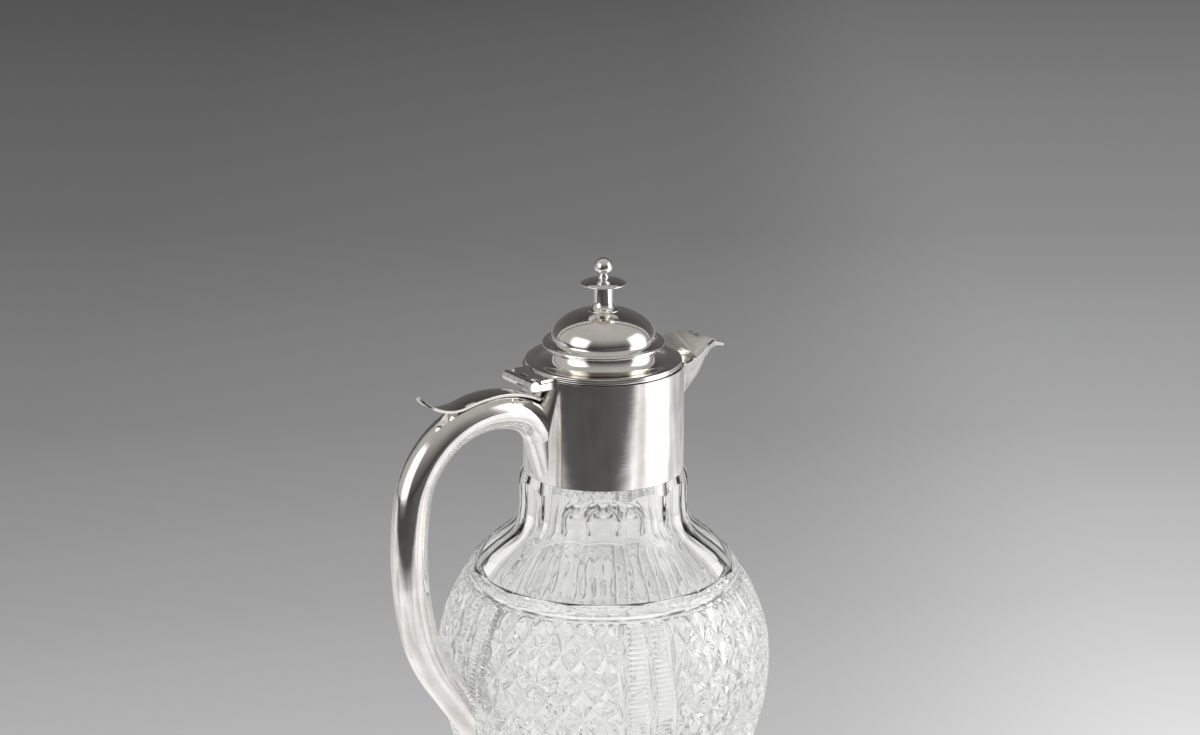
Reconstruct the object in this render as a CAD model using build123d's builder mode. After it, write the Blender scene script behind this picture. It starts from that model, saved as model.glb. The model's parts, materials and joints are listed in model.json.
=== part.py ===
"""Claret jug: a cut-glass body with a silver collar, spout, handle and hinged domed lid.

Frame: origin at the middle of the base, +Z up, +X towards the spout, the handle at -X.
The lid swings on the hinge pin, which lies along Y behind the collar. Millimetres throughout.
"""

from math import asin, atan2, cos, degrees, radians, sin, sqrt
import os

from build123d import *

os.makedirs("parts", exist_ok=True)

# Driving sizes: glass body
body_radius = 63.1  # widest circle
widest_height = 58.4
lower_bow = 76.7  # half height of the ellipse below the widest circle
upper_bow = 57.8  # half height of the ellipse above it
body_wall = 6.8  # at the widest circle
floor_thickness = 10.0
cavity_turn_rise = 1.8  # from the foot of the ring up to where the cavity turns in
heel_rounding = 2.5

# Step-cut ring between the body and the fluted shoulder
ring_ledge = 1.5  # how far the ring stands back from the skin below it
ring_bottom = 90.0
ring_band = 4.8
ring_groove_depth = 3.9
ring_groove_width = 0.8

# Fluted shoulder and neck
flute_count = 12
flute_turn = -4.5  # the flutes were marked out a little off the line of the handle
shoulder_step = 0.8  # from the bottom of the groove out to the foot of a flute
shoulder_slope = 51.0  # degrees above level at the foot of a flute
neck_flat = 31.3  # from the axis to a flute on the neck
neck_bend_height = 116.5
shoulder_reach = 16.0  # pull of the curve at its foot
neck_reach = 7.85  # pull of the curve at the neck
neck_bore_radius = 24.0
neck_rim_chamfer = 2.4

# Mitre cuts between the panels, the crossed cuts on a panel, and the star under the base
panel_count = 5
ribs_per_group = 3
rib_spacing = 9.3  # degrees
rib_width = 4.4
rib_depth = 1.7
rib_start = 5.0  # height of the lower end of a mitre cut
diamonds_across = 6
diamonds_down = 6
top_crossing_drop = 9.7  # from the ring down to the top row of crossings
foot_crossing_height = 7.1
cross_overrun = 0.7  # rows that the cuts run on above the top row of crossings
cross_step = 2  # every second cut is modelled here, the finer ones between them are not
cross_width = 4.2
cross_depth = 1.1
wheel_clearance = 1.5  # how far the edge of the wheel stands out of the glass
star_rays = 16
star_radius = 33.0
star_button_radius = 4.0
star_depth = 1.1
star_ray_width = 4.6

# Collar
collar_radius = 30.0
collar_wall = 0.8
collar_bottom = 133.0
collar_top = 173.2
glass_seat_height = 23.0  # how far the glass stands up inside the collar
plaster_wall = 1.0

# Spout
spout_reach = 54.8  # tip to axis
spout_foot = 147.0  # height of the point where the keel leaves the collar
spout_half_width = 17.6
spout_wall = 0.9

# Hinge
hinge_reach = 36.6  # pin to axis
hinge_width = 19.0
knuckle_count = 5
knuckle_radius = 1.9
knuckle_gap = 0.12
pin_radius = 0.9
pin_running_clearance = 0.05
leaf_end_reach = 34.0  # where the knuckle leaves meet the plate and the bracket
lid_gap = 0.2  # between the collar and the closed lid
bracket_gap = 0.3  # between the bracket and the lid plate above it
bracket_depth = 2.6

# Handle: a chain of arcs from its root on the collar to the glass
handle_radius = 6.75
handle_wall = 0.9
handle_start = (-27.95, 150.24)
handle_start_heading = 107.0  # degrees, counted from +X towards +Z
handle_lead = 15.5  # straight run before it, which sinks into the collar
root_radius = 17.0
root_sweep = 53.0
crown_radius = 34.1
crown_sweep = 101.0
back_radius = 131.0
back_sweep = 22.0
heel_radius = 60.0
heel_sweep = 22.0
handle_tail = 40.0  # straight run into the glass, cut off at its skin
handle_gap = 0.1
peg_wall = 0.9  # plaster round the glass peg
peg_length = 12.0
peg_root = 4.0

# Thumb rest
rest_wall = 1.1
rest_bow_radius = 16.0  # bow of the plate across its width
rest_start_angle = 51.0  # degrees round the crown's middle, inside the collar
rest_release = 56.0  # degrees of the crown that it follows
rest_curl_radius = 17.0
rest_curl_sweep = 66.0
rest_width = 9.6
rest_root_width = 7.4

# Lid
flange_radius = 29.1
flange_wall = 0.8
rim_wire_radius = 29.3
rim_wire_height = 1.1
bezel_radius = 28.7
bezel_wall = 0.8
bezel_depth = 3.6
cove_radius = 5.0
cove_neck_radius = 20.5
bead_radius = 22.74
bead_height = 1.7
dome_radius = 19.3
dome_rise = 10.8
dome_foot_radius = 20.9
dome_foot_height = 1.7
sheet_wall = 0.9

# Finial
stud_radius = 1.5
stud_clearance = 0.05
stem_radius = 3.6
stem_foot_radius = 6.2
stem_foot_edge = 0.5
stem_length = 8.0
saucer_radius = 8.5
saucer_cone = 1.4  # rise of the saucer's underside
saucer_crown = 2.7  # rise of its top, up to the neck of the ball
saucer_dome_rise = 1.7  # rise of the domed part of the top
saucer_dome_bulge = 0.4
saucer_neck_radius = 2.7
ball_radius = 3.4
ball_neck_radius = 1.8
ball_neck_length = 0.75
nut_across_flats = 5.5
nut_height = 2.2
washer_radius = 3.6
washer_height = 0.6
stud_grip = 4.5  # how far the stud reaches into the ball

# Worked out from the driving sizes
ring_top = ring_bottom + ring_band
shoulder_foot = ring_top + ring_groove_width
collar_bore = collar_radius - collar_wall
glass_seat_radius = collar_bore - plaster_wall
glass_top = collar_bottom + glass_seat_height
base_angle = -degrees(asin(widest_height / lower_bow))
body_top_angle = degrees(asin((ring_bottom - widest_height) / upper_bow))
ring_radius = body_radius * cos(radians(body_top_angle)) - ring_ledge
ring_groove_radius = ring_radius - ring_groove_depth
shoulder_flat = ring_groove_radius + shoulder_step
rib_start_angle = -degrees(asin((widest_height - rib_start) / lower_bow))
cavity_radius = body_radius - body_wall
cavity_drop = widest_height - floor_thickness
cavity_rise = upper_bow - body_wall + 0.7
cavity_top_angle = degrees(asin((ring_bottom + cavity_turn_rise - widest_height) / cavity_rise))
peg_radius = handle_radius - handle_wall - peg_wall
panel_angle = 360 / panel_count
group_angle = (ribs_per_group - 1) * rib_spacing + 2 * degrees(asin(rib_width / 2 / body_radius))
diamond_angle = (panel_angle - group_angle) / diamonds_across
top_crossing = ring_bottom - top_crossing_drop
row_height = (top_crossing - foot_crossing_height) / diamonds_down
spout_out = spout_reach - collar_radius
spout_depth = collar_top - spout_foot
lid_bottom = collar_top + lid_gap
flange_top = lid_bottom + rim_wire_height + flange_wall
cove_top = flange_top + cove_radius
bead_top = cove_top + bead_height
dome_centre = bead_top + dome_foot_height
dome_top = dome_centre + dome_rise
hinge_height = flange_top - flange_wall - knuckle_radius
knuckle_pitch = hinge_width / knuckle_count
knuckle_length = knuckle_pitch - knuckle_gap
bracket_top = lid_bottom - bracket_gap
rest_path_radius = crown_radius + handle_radius + rest_wall / 2
stem_top = dome_top + stem_length
saucer_rim = stem_top + saucer_cone
saucer_top = saucer_rim + saucer_crown
ball_centre = saucer_top + ball_neck_length + sqrt(ball_radius**2 - ball_neck_radius**2)
dome_inner_rise = dome_rise - sheet_wall
washer_top = dome_centre + dome_inner_rise * sqrt(1 - (washer_radius / (dome_radius - sheet_wall)) ** 2)
nut_top = washer_top - washer_height
far = 4 * body_radius  # longer than anything it has to cut


# ---------------------------------------------------------------- glass body
def skin_point(angle, outset=0):
    """Return a point of the body's side view; the angle is 0 at the widest height."""
    bow = upper_bow if angle > 0 else lower_bow
    return (
        (body_radius + outset) * cos(radians(angle)),
        widest_height + (bow + outset) * sin(radians(angle)),
    )


def skin_line(first, last, outset=0):
    """Draw the body's side view between two angles on one side of the widest height."""
    points = [skin_point(first + (last - first) * step / 8, outset) for step in range(9)]
    return Spline(*points)


with BuildSketch(Plane.XZ) as body_profile:
    with BuildLine():
        lower = skin_line(base_angle, 0)
        upper = skin_line(0, body_top_angle)
        groove_in = Line(upper @ 1, (ring_groove_radius + 2, ring_bottom))
        ring_side = ThreePointArc(
            groove_in @ 1, (ring_radius, ring_bottom + ring_band / 2), (ring_groove_radius + 1.2, ring_top)
        )
        Polyline(
            ring_side @ 1,
            (ring_groove_radius, ring_top),
            (ring_groove_radius, shoulder_foot),
            (0, shoulder_foot),
            (0, 0),
            lower @ 0,
        )
    make_face()


def body_blank(turn):
    """Turn the uncut body, or a sector of it, and round its heel."""
    with BuildPart() as blank:
        add(body_profile.sketch)
        revolve(axis=Axis.Z, revolution_arc=turn)
        fillet(blank.edges().filter_by(GeomType.CIRCLE).group_by(Axis.Z)[0], heel_rounding)
    return blank.part


body_core = body_blank(360)

# A slab with the shoulder's profile on both sides; its turned copies leave a flat flute on every side
with BuildPart() as flute_pair:
    with BuildSketch(Plane.XZ):
        with BuildLine():
            flute_line = Bezier(
                (shoulder_flat, shoulder_foot),
                (
                    shoulder_flat - shoulder_reach * cos(radians(shoulder_slope)),
                    shoulder_foot + shoulder_reach * sin(radians(shoulder_slope)),
                ),
                (neck_flat, neck_bend_height - neck_reach),
                (neck_flat, neck_bend_height),
            )
            Polyline(
                flute_line @ 1,
                (neck_flat, collar_bottom),
                (0, collar_bottom),
                (0, shoulder_foot),
                flute_line @ 0,
            )
        make_face()
        mirror(about=Plane.YZ)
    extrude(amount=body_radius, both=True)

with BuildPart() as fluted_neck:
    add(flute_pair.part.rotate(Axis.Z, flute_turn))
    for flute in range(1, flute_count // 2):
        add(flute_pair.part.rotate(Axis.Z, flute_turn + flute * 360 / flute_count), mode=Mode.INTERSECT)
    # The sloping rim just below the collar, scalloped where it meets the flutes
    with BuildSketch(Plane.XZ):
        rim_run = (neck_flat - collar_radius) / neck_rim_chamfer
        Polygon(
            (collar_radius, collar_bottom),
            (far, collar_bottom),
            (far, collar_bottom - (far - collar_radius) / rim_run),
            align=None,
        )
    revolve(axis=Axis.Z, mode=Mode.SUBTRACT)

with BuildPart() as cavity:
    with BuildSketch(Plane.XZ):
        with BuildLine():
            cavity_low = EllipticalCenterArc((0, widest_height), cavity_radius, cavity_drop, -90, arc_size=90)
            cavity_high = EllipticalCenterArc((0, widest_height), cavity_radius, cavity_rise, 0, arc_size=cavity_top_angle)
            shoulder_in = Bezier(
                cavity_high @ 1,
                cavity_high @ 1 + (cavity_high % 1) * 14.0,
                (neck_bore_radius, neck_bend_height - 6.0),
                (neck_bore_radius, neck_bend_height + 3.0),
            )
            Polyline(
                shoulder_in @ 1,
                (neck_bore_radius, glass_top + 1),
                (0, glass_top + 1),
                (0, floor_thickness),
            )
        make_face()
    revolve(axis=Axis.Z)

# A mitre cut: a V swept up the skin of the body
with BuildPart() as mitre_cut:
    with BuildLine() as mitre_path:
        with BuildLine(Plane.XZ):
            skin_line(rib_start_angle, 0)
            skin_line(0, body_top_angle)
    mitre_start = Plane(mitre_path.line @ 0, x_dir=(0, 1, 0), z_dir=mitre_path.line % 0)
    with BuildSketch(mitre_start):
        Polygon(
            (-rib_width / 2, 0),
            (-rib_width * 0.75, -rib_depth / 2),
            (rib_width * 0.75, -rib_depth / 2),
            (rib_width / 2, 0),
            (0, rib_depth),
            align=None,
        )
    sweep(path=mitre_path.line)


def skin_place(turn, height):
    """Return a point of the skin; the turn is counted from +X."""
    bow = upper_bow if height > widest_height else lower_bow
    reach = body_radius * sqrt(1 - ((height - widest_height) / bow) ** 2)
    return Vector(reach * cos(radians(turn)), reach * sin(radians(turn)), height)


def skin_normal(place):
    """Return the outward direction of the skin at one of its points."""
    bow = upper_bow if place.Z > widest_height else lower_bow
    return Vector(
        place.X / body_radius**2, place.Y / body_radius**2, (place.Z - widest_height) / bow**2
    ).normalized()


def wheel_cut(crossing, lean):
    """Sweep the edge of the cutting wheel over a panel, down to the right or to the left.

    The crossing counts diamonds from the panel's edge to where the cut meets the top row of crossings.
    """
    start_row = max(-cross_overrun, min(crossing * lean, (crossing - diamonds_across) * lean))
    end_row = min(diamonds_down, max(crossing * lean, (crossing - diamonds_across) * lean))
    start, middle, end = [
        skin_place(group_angle / 2 + (crossing - lean * row) * diamond_angle, top_crossing - row * row_height)
        for row in (start_row, (start_row + end_row) / 2, end_row)
    ]
    centre = ThreePointArc(start, middle, end).arc_center
    spindle = (middle - start).cross(end - middle).normalized()
    normal = skin_normal(middle)
    tilt = degrees(atan2(normal.dot(spindle), normal.dot((middle - centre).normalized())))
    swing = 2 * degrees(asin((end - start).length / 2 / (start - centre).length))
    outwards = (start - centre).normalized()
    half_width = cross_width / 2 * (1 + wheel_clearance / cross_depth)
    with BuildPart() as cut:
        with BuildSketch(Plane(start, x_dir=outwards, z_dir=outwards.cross(spindle))):
            with Locations(Rotation(0, 0, tilt)):
                Polygon(
                    (-cross_depth, 0), (wheel_clearance, half_width), (wheel_clearance, -half_width), align=None
                )
        revolve(axis=Axis(centre, spindle), revolution_arc=swing)
    return cut.part


# One fifth of the cut body, from the middle of a group of mitre cuts to the middle of the next
with BuildPart() as cut_sector:
    add(body_blank(panel_angle))
    for rib in range(1 + ribs_per_group // 2):
        add(mitre_cut.part.rotate(Axis.Z, rib * rib_spacing), mode=Mode.SUBTRACT)
        add(mitre_cut.part.rotate(Axis.Z, panel_angle - rib * rib_spacing), mode=Mode.SUBTRACT)
    crossings = [step + 0.5 for step in range(0, diamonds_across + diamonds_down - 1, cross_step)]
    cross_cuts = [wheel_cut(crossing, 1) for crossing in crossings]
    cross_cuts += [wheel_cut(diamonds_across - crossing, -1) for crossing in crossings]
    add(cross_cuts, mode=Mode.SUBTRACT)

# Chips that the crossed cuts set free fall away
cut_fifth = cut_sector.solids().sort_by(SortBy.VOLUME)[-1]
cut_body = cut_fifth.fuse(*[cut_fifth.rotate(Axis.Z, panel * panel_angle) for panel in range(1, panel_count)])

with BuildPart() as star_ray:
    with BuildSketch(Plane.XY):
        Polygon(
            (star_button_radius, 0),
            (star_radius - star_ray_width, -star_ray_width / 2),
            (star_radius, 0),
            (star_radius - star_ray_width, star_ray_width / 2),
            align=None,
        )
    extrude(amount=star_depth, taper=40)

with BuildLine(Plane.XZ) as handle_line:
    root = JernArc(
        handle_start,
        (cos(radians(handle_start_heading)), sin(radians(handle_start_heading))),
        root_radius,
        root_sweep,
    )
    crown = JernArc(root @ 1, root % 1, crown_radius, crown_sweep)
    back = JernArc(crown @ 1, crown % 1, back_radius, back_sweep)
    heel = JernArc(back @ 1, back % 1, heel_radius, heel_sweep)
    tail = Line(heel @ 1, heel @ 1 + (heel % 1) * handle_tail)
    lead_in = Line(root @ 0 - (root % 0) * handle_lead, root @ 0)

# Where the middle of the straight tail meets the skin of the glass
peg_seat = body_core.intersect(tail).vertices().sort_by(Axis.X)[0].center()
peg_plane = Plane(peg_seat, x_dir=(0, 1, 0), z_dir=-(tail % 0))
peg_run = min(peg_length, (peg_seat - tail @ 0).length)

with BuildPart() as glass_body:
    add(cut_body.rotate(Axis.Z, 180))
    add(fluted_neck.part)
    with BuildSketch(Plane.XY.offset(shoulder_foot)):
        Circle(glass_seat_radius)
    extrude(amount=glass_top - shoulder_foot)
    for ray in range(star_rays):
        add(star_ray.part.rotate(Axis.Z, ray * 360 / star_rays), mode=Mode.SUBTRACT)
    with BuildSketch(peg_plane.offset(-peg_root)):
        Circle(peg_radius)
    extrude(amount=peg_root + peg_run)
    add(cavity.part, mode=Mode.SUBTRACT)
glass_body.part.label = "glass_body"

# ---------------------------------------------------------------- collar
with BuildPart() as neck_plaster:
    with BuildSketch(Plane.XY.offset(collar_bottom)):
        Circle(collar_bore)
        Circle(glass_seat_radius, mode=Mode.SUBTRACT)
    extrude(amount=glass_seat_height)
neck_plaster.part.label = "neck_plaster"

# The spout is lofted through upright sections across it, from inside the collar to the tip
spout_stations = [-0.32, 0.0, 0.24, 0.42, 0.585, 0.745, 0.89, 1.0]  # share of the way out
spout_keels = [1.22, 1.0, 0.73, 0.46, 0.16, 0.05, 0.03, 0.06]  # depth as a share of the depth at the collar
spout_lips = [0.2, -0.5, 1.4, 3.1, 3.3, 1.7, 0.5, -0.8]  # height above the top of the collar
spout_shares = [1.09, 0.83, 0.7, 0.59, 0.45, 0.24, 0.125, 0.035]  # share of the half width


def spout_section(index, inset):
    """Draw the closed section at one station, drawn in by the inset and opened upwards."""
    lip = collar_top + spout_lips[index]
    keel = collar_top - spout_depth * spout_keels[index]
    half = spout_half_width * spout_shares[index]
    steep = atan2(lip - keel, half)
    keel = keel + min(inset / cos(steep), (lip - keel) * 0.9)
    half = max(half - inset / sin(steep), inset / 4)
    rise = lip - keel
    over = lip + 3 * spout_wall
    with BuildSketch(Plane.YZ.offset(collar_radius + spout_out * spout_stations[index])) as section:
        with BuildLine():
            flank = Spline(
                (-half, lip),
                (-half * 0.76, keel + rise * 0.64),
                (-half * 0.4, keel + rise * 0.26),
                (0, keel),
                (half * 0.4, keel + rise * 0.26),
                (half * 0.76, keel + rise * 0.64),
                (half, lip),
            )
            if inset:
                Polyline(flank @ 1, (half + spout_wall, over), (-half - spout_wall, over), flank @ 0)
            else:
                Line(flank @ 1, flank @ 0)
        make_face()
    return section.sketch


with BuildPart() as spout_outside:
    for station in range(len(spout_stations)):
        add(spout_section(station, 0))
    loft()

with BuildPart() as spout_inside:
    for station in range(len(spout_stations) - 1):
        add(spout_section(station, spout_wall))
    loft()

with BuildPart() as collar_blank:
    with BuildSketch(Plane.XY.offset(collar_bottom)):
        Circle(collar_radius)
    extrude(amount=far)

with BuildPart() as collar:
    with BuildSketch(Plane.XY.offset(collar_bottom)):
        Circle(collar_radius)
        Circle(collar_bore, mode=Mode.SUBTRACT)
    extrude(amount=collar_top - collar_bottom)
    add(spout_inside.part, mode=Mode.SUBTRACT)
collar.part.label = "collar"

with BuildPart() as spout:
    add(spout_outside.part)
    add(spout_inside.part, mode=Mode.SUBTRACT)
    add(collar_blank.part, mode=Mode.SUBTRACT)
spout.part.label = "spout"

# ---------------------------------------------------------------- hinge
with BuildPart() as hinge_bracket:
    with BuildSketch(Plane.XY.offset(bracket_top)):
        with Locations((-leaf_end_reach, 0)):
            Rectangle(leaf_end_reach, hinge_width, align=(Align.MIN, Align.CENTER))
        Circle(collar_radius, mode=Mode.SUBTRACT)
    extrude(amount=-bracket_depth)
    front_edges = hinge_bracket.edges().filter_by(Axis.Y).group_by(Axis.X)[0]
    chamfer(front_edges.sort_by(Axis.Z)[0], 0.6)
hinge_bracket.part.label = "hinge_bracket"


def knuckle(index, leaf_low, leaf_high, bore):
    """One knuckle with its leaf, placed along the hinge by its index."""
    start = -hinge_width / 2 + index * knuckle_pitch + knuckle_gap / 2
    with BuildPart(mode=Mode.PRIVATE) as piece:
        with BuildSketch(Plane.XZ.offset(-start)):
            with Locations((-hinge_reach, hinge_height)):
                Circle(knuckle_radius)
            with Locations((-hinge_reach, (leaf_low + leaf_high) / 2)):
                Rectangle(
                    hinge_reach - leaf_end_reach, leaf_high - leaf_low, align=(Align.MIN, Align.CENTER)
                )
            with Locations((-hinge_reach, hinge_height)):
                Circle(bore, mode=Mode.SUBTRACT)
        extrude(amount=-knuckle_length)
    return piece.part


with BuildPart() as bracket_knuckles:
    for index in range(0, knuckle_count, 2):
        add(knuckle(index, hinge_height - knuckle_radius, bracket_top, pin_radius))
bracket_knuckles.part.label = "bracket_knuckles"

with BuildPart() as lid_knuckles:
    for index in range(1, knuckle_count, 2):
        add(knuckle(index, lid_bottom, hinge_height + knuckle_radius, pin_radius + pin_running_clearance))
lid_knuckles.part.label = "lid_knuckles"

with BuildPart() as hinge_pin:
    with BuildSketch(Plane.XZ.offset(-hinge_width / 2)):
        with Locations((-hinge_reach, hinge_height)):
            Circle(pin_radius)
    extrude(amount=hinge_width)
hinge_pin.part.label = "hinge_pin"

# ---------------------------------------------------------------- handle
handle_start_plane = Plane(lead_in @ 0, x_dir=(0, 1, 0), z_dir=root % 0)

with BuildPart() as handle_tube:
    with BuildLine() as handle_path:
        add([lead_in, root, crown, back, heel, tail])
    with BuildSketch(handle_start_plane):
        Circle(handle_radius)
        Circle(handle_radius - handle_wall, mode=Mode.SUBTRACT)
    sweep(path=handle_path.line)
    add(collar_blank.part, mode=Mode.SUBTRACT)
    with BuildSketch(Plane.XZ):
        with BuildLine():
            skin_low = skin_line(base_angle, 0, handle_gap)
            skin_high = skin_line(0, body_top_angle, handle_gap)
            Polyline(skin_high @ 1, (0, ring_bottom), (0, 0), skin_low @ 0)
        make_face()
    revolve(axis=Axis.Z, mode=Mode.SUBTRACT)

with BuildPart() as handle_near_half:
    add(handle_tube.part)
    split(bisect_by=Plane.XZ, keep=Keep.TOP)
handle_near_half.part.label = "handle_near_half"

with BuildPart() as handle_far_half:
    add(handle_tube.part)
    split(bisect_by=Plane.XZ, keep=Keep.BOTTOM)
handle_far_half.part.label = "handle_far_half"

with BuildPart() as handle_plaster:
    with BuildSketch(peg_plane):
        Circle(handle_radius - handle_wall)
        Circle(peg_radius, mode=Mode.SUBTRACT)
    extrude(amount=peg_run)
    add(body_core, mode=Mode.SUBTRACT)
handle_plaster.part.label = "handle_plaster"

# ---------------------------------------------------------------- thumb rest
# A leaf-shaped plate that lies along the crown of the handle and curls up at its point
crown_centre = crown.arc_center
with BuildLine(Plane.XZ) as rest_line:
    rest_run = CenterArc((crown_centre.X, crown_centre.Z), rest_path_radius, rest_start_angle, rest_release)
    JernArc(rest_run @ 1, rest_run % 1, rest_curl_radius, -rest_curl_sweep)
rest_tip_reach = -(rest_line.line @ 1).X

with BuildPart() as thumb_rest:
    rest_plane = Plane(rest_line.line @ 0, x_dir=(0, 1, 0), z_dir=rest_line.line % 0)
    with BuildSketch(rest_plane):
        with Locations((0, -rest_bow_radius)):
            Circle(rest_bow_radius + rest_wall / 2)
            Circle(rest_bow_radius - rest_wall / 2, mode=Mode.SUBTRACT)
        with Locations((0, -rest_bow_radius / 2)):
            Rectangle(rest_width, 2 * rest_bow_radius, mode=Mode.INTERSECT)
    sweep(path=rest_line.line)
    add(collar_blank.part, mode=Mode.SUBTRACT)
    with BuildSketch():
        with BuildLine():
            leaf_side = Spline(
                (-collar_radius / 2, rest_root_width / 2),
                (-hinge_reach, rest_root_width / 2),
                (-(hinge_reach + rest_tip_reach) / 2, rest_width / 2),
                (-rest_tip_reach, 0),
            )
            Line(leaf_side @ 0, (-collar_radius / 2, 0))
            mirror(about=Plane.XZ)
        make_face()
    extrude(amount=far, mode=Mode.INTERSECT)
thumb_rest.part.label = "thumb_rest"

# ---------------------------------------------------------------- lid
with BuildPart() as lid_rim_wire:
    with BuildSketch(Plane.XY.offset(lid_bottom)):
        Circle(rim_wire_radius)
        Circle(bezel_radius, mode=Mode.SUBTRACT)
    extrude(amount=rim_wire_height)
    fillet(lid_rim_wire.edges().filter_by(GeomType.CIRCLE).group_by(SortBy.RADIUS)[-1], rim_wire_height / 5)
lid_rim_wire.part.label = "lid_rim_wire"

with BuildPart() as lid_bezel:
    with BuildSketch(Plane.XY.offset(lid_bottom + rim_wire_height)):
        Circle(bezel_radius)
        Circle(bezel_radius - bezel_wall, mode=Mode.SUBTRACT)
    extrude(amount=-bezel_depth)
lid_bezel.part.label = "lid_bezel"

with BuildPart() as lid_flange:
    with BuildSketch(Plane.XZ):
        with BuildLine():
            cove_middle = (cove_neck_radius + cove_radius, cove_top)
            cove_out = CenterArc(cove_middle, cove_radius, 180, 90)
            cove_in = CenterArc(cove_middle, cove_radius + flange_wall, 180, 90)
            Line(cove_out @ 0, cove_in @ 0)
            Polyline(
                cove_out @ 1,
                (flange_radius, flange_top),
                (flange_radius, flange_top - flange_wall),
                cove_in @ 1,
            )
        make_face()
    revolve(axis=Axis.Z)
lid_flange.part.label = "lid_flange"

with BuildPart() as lid_bead:
    with BuildSketch(Plane.XY.offset(cove_top)):
        Circle(bead_radius)
        Circle(cove_neck_radius - flange_wall, mode=Mode.SUBTRACT)
    extrude(amount=bead_height)
    fillet(lid_bead.edges().filter_by(GeomType.CIRCLE).group_by(SortBy.RADIUS)[-1], bead_height * 0.42)
lid_bead.part.label = "lid_bead"

with BuildPart() as dome_blank:
    with BuildSketch(Plane.XZ):
        with BuildLine():
            dome_side = EllipticalCenterArc((0, dome_centre), dome_radius, dome_rise, 0, arc_size=90)
            dome_flare = Bezier(
                (dome_foot_radius, bead_top),
                (dome_radius + 0.3, bead_top + dome_foot_height * 0.35),
                (dome_radius, dome_centre - dome_foot_height * 0.4),
                (dome_radius, dome_centre),
            )
            Polyline(dome_side @ 1, (0, bead_top), (dome_foot_radius, bead_top))
        make_face()
    revolve(axis=Axis.Z)

with BuildPart() as lid_dome:
    add(dome_blank.part)
    with BuildSketch(Plane.XZ):
        with BuildLine():
            dome_bore = EllipticalCenterArc(
                (0, dome_centre), dome_radius - sheet_wall, dome_inner_rise, 0, arc_size=90
            )
            Polyline(
                dome_bore @ 1,
                (0, bead_top),
                (dome_radius - sheet_wall, bead_top),
                dome_bore @ 0,
            )
        make_face()
    revolve(axis=Axis.Z, mode=Mode.SUBTRACT)
    with BuildSketch(Plane.XY.offset(dome_centre)):
        Circle(stud_radius + stud_clearance)
    extrude(amount=2 * dome_rise, mode=Mode.SUBTRACT)
lid_dome.part.label = "lid_dome"

with BuildPart() as lid_hinge_plate:
    with BuildSketch(Plane.XY.offset(lid_bottom)):
        with Locations((-leaf_end_reach, 0)):
            Rectangle(leaf_end_reach, hinge_width, align=(Align.MIN, Align.CENTER))
        Circle(rim_wire_radius, mode=Mode.SUBTRACT)
    extrude(amount=rim_wire_height)
lid_hinge_plate.part.label = "lid_hinge_plate"

# ---------------------------------------------------------------- finial
with BuildPart() as finial_stem:
    with BuildSketch(Plane.XZ):
        with BuildLine():
            foot_height = dome_top - 1.0
            foot_side = Line((stem_foot_radius, foot_height), (stem_foot_radius, foot_height + stem_foot_edge))
            foot_sweep = Spline(
                foot_side @ 1,
                (stem_radius, dome_top + stem_length * 0.32),
                tangents=((-1, 0.25), (0, 1)),
            )
            Polyline(
                foot_sweep @ 1,
                (stem_radius, stem_top),
                (stud_radius + stud_clearance, stem_top),
                (stud_radius + stud_clearance, foot_height),
                foot_side @ 0,
            )
        make_face()
    revolve(axis=Axis.Z)
    add(dome_blank.part, mode=Mode.SUBTRACT)
finial_stem.part.label = "finial_stem"

with BuildPart() as finial_saucer:
    with BuildSketch(Plane.XZ):
        with BuildLine():
            saucer_under = Line((stem_radius, stem_top), (saucer_radius, saucer_rim))
            saucer_dome = SagittaArc(
                saucer_under @ 1, (saucer_neck_radius, saucer_rim + saucer_dome_rise), -saucer_dome_bulge
            )
            saucer_neck = Spline(
                saucer_dome @ 1,
                (ball_neck_radius, saucer_top),
                tangents=((-1, 0.3), (0, 1)),
            )
            Polyline(
                saucer_neck @ 1,
                (stud_radius + stud_clearance, saucer_top),
                (stud_radius + stud_clearance, stem_top),
                saucer_under @ 0,
            )
        make_face()
    revolve(axis=Axis.Z)
finial_saucer.part.label = "finial_saucer"

with BuildPart() as finial_ball:
    with BuildSketch(Plane.XY.offset(saucer_top)):
        Circle(ball_neck_radius)
    extrude(amount=ball_centre - saucer_top)
    with Locations((0, 0, ball_centre)):
        Sphere(ball_radius)
    with BuildSketch(Plane.XY.offset(saucer_top)):
        Circle(stud_radius)
    extrude(amount=stud_grip, mode=Mode.SUBTRACT)
finial_ball.part.label = "finial_ball"

with BuildPart() as finial_stud:
    with BuildSketch(Plane.XY.offset(nut_top - nut_height - 0.6)):
        Circle(stud_radius)
    extrude(amount=saucer_top + stud_grip - (nut_top - nut_height - 0.6))
finial_stud.part.label = "finial_stud"

with BuildPart() as finial_washer:
    with BuildSketch(Plane.XY.offset(nut_top)):
        Circle(washer_radius)
        Circle(stud_radius + stud_clearance, mode=Mode.SUBTRACT)
    extrude(amount=washer_height)
finial_washer.part.label = "finial_washer"

with BuildPart() as finial_nut:
    with BuildSketch(Plane.XY.offset(nut_top - nut_height)):
        RegularPolygon(nut_across_flats / 2, 6, major_radius=False)
        Circle(stud_radius, mode=Mode.SUBTRACT)
    extrude(amount=nut_height)
finial_nut.part.label = "finial_nut"

pieces = [
    glass_body,
    neck_plaster,
    collar,
    spout,
    hinge_bracket,
    bracket_knuckles,
    hinge_pin,
    handle_near_half,
    handle_far_half,
    handle_plaster,
    thumb_rest,
    lid_flange,
    lid_rim_wire,
    lid_bezel,
    lid_bead,
    lid_dome,
    lid_hinge_plate,
    lid_knuckles,
    finial_stem,
    finial_saucer,
    finial_ball,
    finial_stud,
    finial_washer,
    finial_nut,
]
for piece in pieces:
    export_step(piece.part, f"parts/{piece.part.label}.step")
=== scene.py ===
import json
from math import atan2, ceil, cos, degrees, hypot, pi, radians, sin, sqrt

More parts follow.
